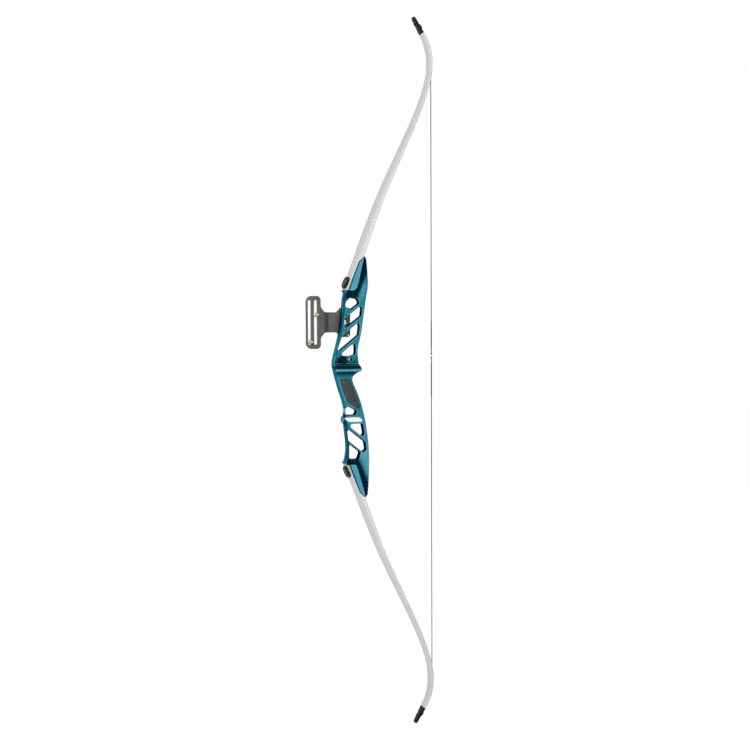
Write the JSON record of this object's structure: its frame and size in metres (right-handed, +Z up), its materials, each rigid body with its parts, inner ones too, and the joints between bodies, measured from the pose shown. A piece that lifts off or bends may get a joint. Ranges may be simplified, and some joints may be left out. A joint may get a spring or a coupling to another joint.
{
  "type": "recurve_bow",
  "caption": "A strung takedown recurve bow: a pierced metallic teal riser with rubber grip, grey recurve limbs with black tips, black string, arrow rest and slotted brass-pin sight.",
  "frame": {"origin": "the grip's throat, at the bow's centre, in its plane of symmetry: X back towards the archer, Z up the bow, -Y to the side that the arrow passes", "axes": "+X back from the bow towards the archer, +Y to the side of the sight bracket, away from the arrow, +Z up the bow, from the grip to the upper limb"},
  "size_m": [0.2935, 0.0505, 1.5884],
  "materials": {
    "riser_teal": "metallic teal satin",
    "grip_rubber": "black, finely hatched",
    "badge_white": "plain white",
    "steel": "bright",
    "brass": "satin",
    "black_plastic": "black",
    "limb_grey": "light grey lacquer",
    "string_black": "waxed black strands",
    "bracket_grey": "dark grey satin"
  },
  "bodies": {
    "riser": {"riser": "riser_teal", "left_grip_panel": "grip_rubber", "right_grip_panel": "grip_rubber", "badge_plate": "badge_white", "stabiliser_bushing": "steel", "upper_bolt_insert": "brass", "lower_bolt_insert": "brass", "upper_locating_pin": "steel", "lower_locating_pin": "steel", "upper_washer": "steel", "lower_washer": "steel", "upper_limb_butt": "limb_grey", "lower_limb_butt": "limb_grey", "sight_bracket": "bracket_grey", "upper_sight_screw": "steel", "lower_sight_screw": "steel", "rest_base": "black_plastic"},
    "upper_bolt": {"upper_bolt": "steel", "upper_knob": "black_plastic"},
    "lower_bolt": {"lower_bolt": "steel", "lower_knob": "black_plastic"},
    "upper_limb": {"upper_limb_blade": "limb_grey", "upper_tip": "black_plastic", "upper_loop": "string_black"},
    "lower_limb": {"lower_limb_blade": "limb_grey", "lower_tip": "black_plastic", "lower_loop": "string_black"},
    "upper_string": {"upper_string": "string_black", "upper_end_serving": "string_black", "upper_serving": "string_black"},
    "lower_string": {"lower_string": "string_black", "lower_end_serving": "string_black", "lower_serving": "string_black"},
    "nock": {"centre_strands": "string_black", "centre_serving": "string_black", "nocking_point": "brass"},
    "front_carriage": {"front_pin_back_nut": "brass"},
    "front_pin": {"front_pin": "brass"},
    "front_nut": {"front_pin_nut": "brass"},
    "rear_carriage": {"rear_pin_back_nut": "brass"},
    "rear_pin": {"rear_pin": "brass"},
    "rear_nut": {"rear_pin_nut": "brass"},
    "rest_arm": {"rest_arm": "black_plastic"}
  },
  "joints": [
    {"name": "upper_limb_flex", "type": "hinge", "parent": "riser", "child": "upper_limb", "pos_m": [0.04849, 0, 0.35219], "axis": [0, 1, 0], "range_deg": [0, 24.4], "stiffness_Nm_per_rad": 150},
    {"name": "lower_limb_flex", "type": "hinge", "parent": "riser", "child": "lower_limb", "pos_m": [0.04849, 0, -0.35219], "axis": [0, -1, 0], "range_deg": [0, 22.99], "stiffness_Nm_per_rad": 150},
    {"name": "upper_string_swing", "type": "hinge", "parent": "upper_limb", "child": "upper_string", "pos_m": [0.16585, 0, 0.76887], "axis": [0, 1, 0], "range_deg": [-51.11, 0]},
    {"name": "lower_string_swing", "type": "hinge", "parent": "lower_limb", "child": "lower_string", "pos_m": [0.16585, 0, -0.76887], "axis": [0, -1, 0], "range_deg": [-47.11, 0]},
    {"name": "string_draw", "type": "slide", "parent": "riser", "child": "nock", "axis": [1, 0, 0], "range_m": [0, 0.4792]},
    {"name": "upper_bolt_turn", "type": "hinge", "parent": "riser", "child": "upper_bolt", "pos_m": [-0.0049, 0, 0.20347], "axis": [-0.9298, 0, 0.3681], "continuous": true},
    {"name": "lower_bolt_turn", "type": "hinge", "parent": "riser", "child": "lower_bolt", "pos_m": [-0.0049, 0, -0.20347], "axis": [-0.9298, 0, -0.3681], "continuous": true},
    {"name": "front_pin_height", "type": "slide", "parent": "riser", "child": "front_carriage", "axis": [0, 0, 1], "range_m": [-0.0034, 0.0877]},
    {"name": "front_pin_windage", "type": "slide", "parent": "front_carriage", "child": "front_pin", "axis": [0, 1, 0], "range_m": [-0.004, 0.004]},
    {"name": "front_nut_turn", "type": "hinge", "parent": "front_carriage", "child": "front_nut", "pos_m": [-0.0952, 0.0109, 0.079], "axis": [0, 1, 0], "continuous": true},
    {"name": "rear_pin_height", "type": "slide", "parent": "riser", "child": "rear_carriage", "axis": [0, 0, 1], "range_m": [-0.0619, 0.0292]},
    {"name": "rear_pin_windage", "type": "slide", "parent": "rear_carriage", "child": "rear_pin", "axis": [0, 1, 0], "range_m": [-0.004, 0.004]},
    {"name": "rear_nut_turn", "type": "hinge", "parent": "rear_carriage", "child": "rear_nut", "pos_m": [-0.081, 0.0109, 0.1375], "axis": [0, 1, 0], "continuous": true},
    {"name": "rest_arm_fold", "type": "hinge", "parent": "riser", "child": "rest_arm", "pos_m": [-0.0286, 0.0008, 0.0375], "axis": [0, 0, -1], "range_deg": [0, 35], "stiffness_Nm_per_rad": 0.02}
  ],
  "couplings": [
    {"joint": "lower_limb_flex", "follows": "upper_limb_flex", "ratio": 0.94184},
    {"joint": "upper_string_swing", "follows": "upper_limb_flex", "ratio": -2.0944},
    {"joint": "lower_string_swing", "follows": "upper_limb_flex", "ratio": -1.9305},
    {"joint": "string_draw", "follows": "upper_limb_flex", "m_per_rad": 1.1248}
  ]
}
